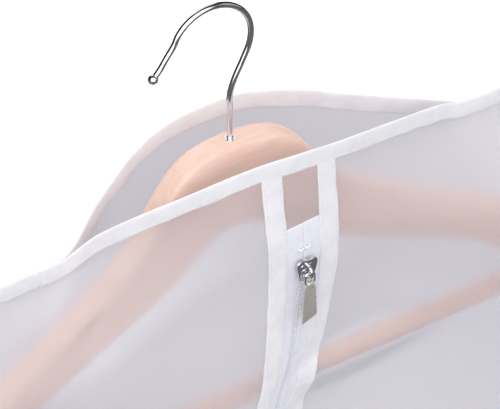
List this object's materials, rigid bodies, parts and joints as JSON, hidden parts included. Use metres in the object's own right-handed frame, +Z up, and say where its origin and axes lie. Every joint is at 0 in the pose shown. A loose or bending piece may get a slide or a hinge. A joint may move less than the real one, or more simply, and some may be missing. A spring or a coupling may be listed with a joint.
{
  "type": "garment bag",
  "caption": "Hanging garment bag of frosted film with bound edges, a wide neck slot, a coil zip down the front, and its wooden hanger with a swivel hook.",
  "frame": {"origin": "inside of the hook's crown, at the point that bears on a rail", "axes": "+Z up; +X to the right seen from the front; the zip faces -Y"},
  "size_m": [0.6, 0.0719, 1.0795],
  "materials": {
    "film": "frosted translucent film",
    "binding": "folded non-woven edging",
    "zip_tape": "woven tape",
    "coil": "moulded nylon coil",
    "wood": "clear satin varnish",
    "chrome": "bright plate",
    "pull_metal": "satin nickel plate"
  },
  "bodies": {
    "hook": {"hook_wire": "chrome", "hook_ball_tip": "chrome", "hook_end_nut": "chrome"},
    "bag": {"hook_ferrule": "chrome", "hanger_arm_left": "wood", "hanger_arm_right": "wood", "hanger_dowel_upper": "wood", "hanger_dowel_lower": "wood", "trouser_bar": "wood", "back_panel": "film", "front_panel_left": "film", "front_panel_right": "film", "zip_bridge_panel": "film", "zip_foot_panel": "film", "zip_tape_left": "zip_tape", "zip_tape_right": "zip_tape", "zip_strip_left": "binding", "zip_strip_right": "binding", "zip_coil_left": "coil", "zip_coil_right": "coil", "zip_top_stop_left": "coil", "zip_top_stop_right": "coil", "zip_bottom_stop": "chrome", "neck_binding_front": "binding", "neck_binding_back": "binding", "shoulder_binding_left": "binding", "shoulder_binding_right": "binding", "side_binding_left": "binding", "side_binding_right": "binding", "bottom_binding": "binding"},
    "slider": {"slider_body": "chrome", "slider_bail": "chrome"},
    "link": {"pull_link": "chrome"},
    "tab": {"pull_tab": "pull_metal"}
  },
  "joints": [
    {"name": "hook_swivel", "type": "hinge", "parent": "hook", "child": "bag", "pos_m": [0.0097, 0, -0.0778], "axis": [0, 0, 1], "continuous": true},
    {"name": "zip_travel", "type": "slide", "parent": "bag", "child": "slider", "axis": [0, 0.024, -0.9997], "range_m": [0, 0.8565]},
    {"name": "link_swing", "type": "hinge", "parent": "slider", "child": "link", "pos_m": [0.0307, -0.0386, -0.1445], "axis": [-1, 0, 0], "range_deg": [0, 120]},
    {"name": "tab_swing", "type": "hinge", "parent": "link", "child": "tab", "pos_m": [0.0307, -0.0386, -0.1509], "axis": [-1, 0, 0], "range_deg": [0, 50]}
  ]
}
